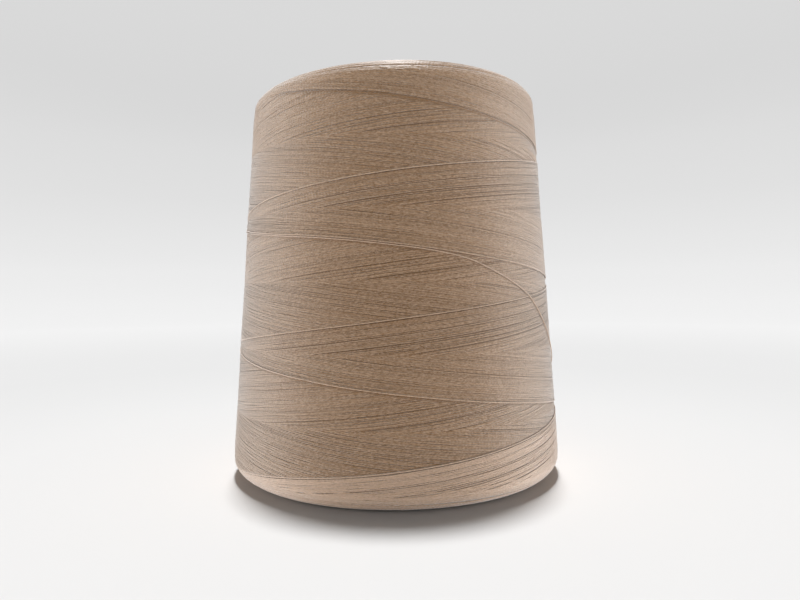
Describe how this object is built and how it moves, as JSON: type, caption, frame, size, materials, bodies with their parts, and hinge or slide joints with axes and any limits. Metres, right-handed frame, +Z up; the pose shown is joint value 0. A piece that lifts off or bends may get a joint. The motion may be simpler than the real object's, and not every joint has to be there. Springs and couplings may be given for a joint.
{
  "type": "cone of yarn",
  "caption": "Cone of brown sewing yarn, cross-wound on a slight taper, with a rounded shoulder, a flat base ring and a tapered through hole for a spindle.",
  "frame": {"origin": "on the axis, at the level of the flat ring that the wide end rests on", "axes": "+Z up the axis from the wide end to the narrow end, -Y towards the front"},
  "size_m": [0.0992, 0.0992, 0.1162],
  "materials": {
    "yarn": "spun yarn with a slight sheen"
  },
  "bodies": {
    "root": {"wound_yarn": "yarn"}
  },
  "joints": []
}
